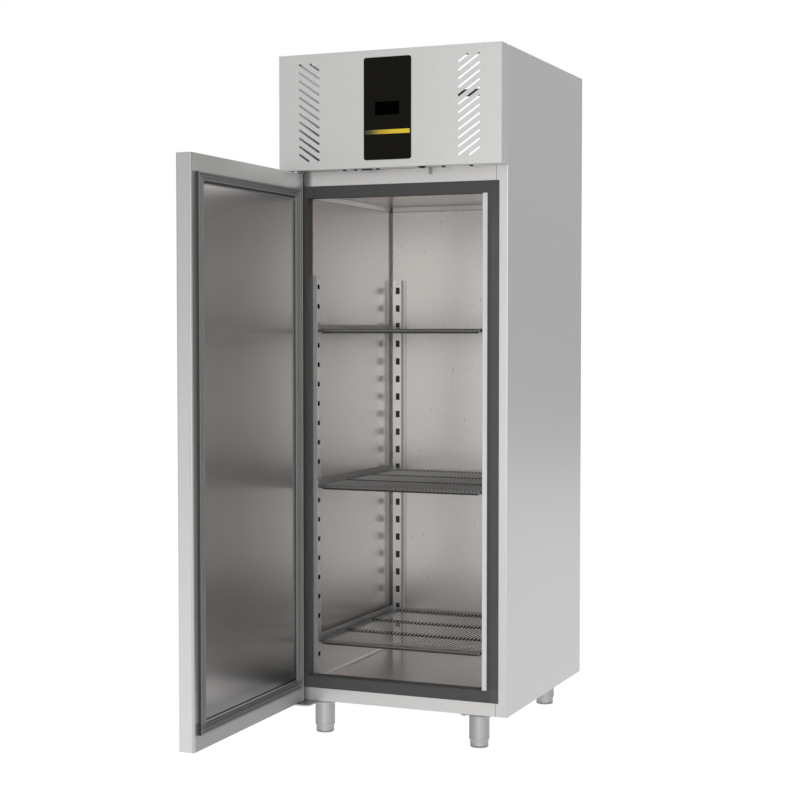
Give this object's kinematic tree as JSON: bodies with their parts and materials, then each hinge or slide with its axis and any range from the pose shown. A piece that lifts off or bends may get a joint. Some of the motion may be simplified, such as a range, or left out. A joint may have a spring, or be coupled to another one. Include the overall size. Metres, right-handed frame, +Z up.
{
  "type": "upright refrigerator",
  "caption": "Upright stainless steel refrigerator on levelling feet with a full-height hinged door, wire shelves on slotted racks and a lift-up vented service panel.",
  "frame": {"origin": "on the floor below the middle of the cabinet, door not counted", "axes": "+X to the cabinet's right as seen from the front, +Y to its back, +Z up"},
  "size_m": [0.7, 1.4372, 2.035],
  "materials": {
    "outer_steel": "fine satin stainless steel",
    "hidden_steel": "plain galvanised sheet",
    "cell_steel": "satin stainless steel",
    "foam": "rigid foam",
    "frame_plastic": "dark grey, matt",
    "light_plastic": "pale translucent cover",
    "rack_steel": "satin stainless steel",
    "wire_steel": "bright plated wire",
    "dark_rail": "dark grey paint",
    "gasket": "grey soft gasket",
    "grip_plastic": "dark grey, matt",
    "bush_plastic": "plain bearing plastic",
    "overlay": "black, half gloss",
    "display": "black, gloss",
    "case_plastic": "black, matt",
    "fins": "bare fins",
    "grey_paint": "grey paint",
    "motor_paint": "black paint",
    "blade": "bare sheet",
    "shell_paint": "black paint, half gloss",
    "mount_rubber": "black rubber",
    "copper": "bare copper tube",
    "pale_plastic": "light grey, matt"
  },
  "bodies": {
    "cabinet": {"side_panel_left": "outer_steel", "side_panel_right": "outer_steel", "rear_panel": "hidden_steel", "base_panel": "hidden_steel", "top_rail": "outer_steel", "bottom_rail": "outer_steel", "insulation": "foam", "cell_liner": "cell_steel", "breaker_frame": "frame_plastic", "light_strip": "light_plastic", "air_duct_panel": "cell_steel", "duct_stays": "cell_steel", "top_deck": "hidden_steel", "rear_cross_rail": "dark_rail", "rack_front_left": "rack_steel", "rack_front_right": "rack_steel", "rack_rear_left": "rack_steel", "rack_rear_right": "rack_steel", "runner_upper_left": "rack_steel", "runner_upper_right": "rack_steel", "runner_middle_left": "rack_steel", "runner_middle_right": "rack_steel", "runner_lower_left": "rack_steel", "runner_lower_right": "rack_steel", "upper_hinge": "outer_steel", "lower_hinge": "outer_steel", "foot_sleeves": "outer_steel", "panel_hinges": "hidden_steel", "condenser": "fins", "fan_shroud": "grey_paint", "condenser_fan_motor": "motor_paint", "compressor": "shell_paint", "compressor_mounts": "mount_rubber", "filter_drier": "copper", "pipework": "copper", "evaporator_housing": "outer_steel", "evaporator_coil": "fins", "evaporator_fan_plate": "pale_plastic", "condensate_tray": "case_plastic", "electrical_box": "pale_plastic", "power_inlet": "case_plastic"},
    "door": {"door_skin_panel": "outer_steel", "door_inner_panel": "cell_steel", "door_foam": "foam", "door_gasket": "gasket", "door_grip": "grip_plastic", "door_bushes": "bush_plastic"},
    "service_flap": {"service_panel": "outer_steel", "control_overlay": "overlay", "display_window": "display", "controller": "case_plastic"},
    "upper_shelf": {"shelf_upper": "wire_steel"},
    "middle_shelf": {"shelf_middle": "wire_steel"},
    "lower_shelf": {"shelf_lower": "wire_steel"},
    "front_left_foot": {"foot_front_left": "outer_steel"},
    "front_right_foot": {"foot_front_right": "outer_steel"},
    "rear_left_foot": {"foot_rear_left": "outer_steel"},
    "rear_right_foot": {"foot_rear_right": "outer_steel"},
    "condenser_rotor": {"condenser_fan": "blade"},
    "evaporator_rotor": {"evaporator_fan": "case_plastic"}
  },
  "joints": [
    {"name": "door_hinge", "type": "hinge", "parent": "cabinet", "child": "door", "pos_m": [-0.32, -0.4035, 0.9], "axis": [0, 0, -1], "range_deg": [-89, 21]},
    {"name": "service_flap_hinge", "type": "hinge", "parent": "cabinet", "child": "service_flap", "pos_m": [0, -0.3825, 2.022], "axis": [-1, 0, 0], "range_deg": [0, 65]},
    {"name": "upper_shelf_slide", "type": "slide", "parent": "cabinet", "child": "upper_shelf", "axis": [0, -1, 0], "range_m": [0, 0.35]},
    {"name": "middle_shelf_slide", "type": "slide", "parent": "cabinet", "child": "middle_shelf", "axis": [0, -1, 0], "range_m": [0, 0.35]},
    {"name": "lower_shelf_slide", "type": "slide", "parent": "cabinet", "child": "lower_shelf", "axis": [0, -1, 0], "range_m": [0, 0.35]},
    {"name": "front_left_foot_screw", "type": "slide", "parent": "cabinet", "child": "front_left_foot", "axis": [0, 0, -1], "range_m": [0, 0.035]},
    {"name": "front_right_foot_screw", "type": "slide", "parent": "cabinet", "child": "front_right_foot", "axis": [0, 0, -1], "range_m": [0, 0.035]},
    {"name": "rear_left_foot_screw", "type": "slide", "parent": "cabinet", "child": "rear_left_foot", "axis": [0, 0, -1], "range_m": [0, 0.035]},
    {"name": "rear_right_foot_screw", "type": "slide", "parent": "cabinet", "child": "rear_right_foot", "axis": [0, 0, -1], "range_m": [0, 0.035]},
    {"name": "condenser_fan_spin", "type": "hinge", "parent": "cabinet", "child": "condenser_rotor", "pos_m": [-0.045, -0.2, 1.828], "axis": [0, 1, 0], "continuous": true},
    {"name": "evaporator_fan_spin", "type": "hinge", "parent": "cabinet", "child": "evaporator_rotor", "pos_m": [0.2505, 0.2, 1.799], "axis": [0, 1, 0], "continuous": true}
  ]
}
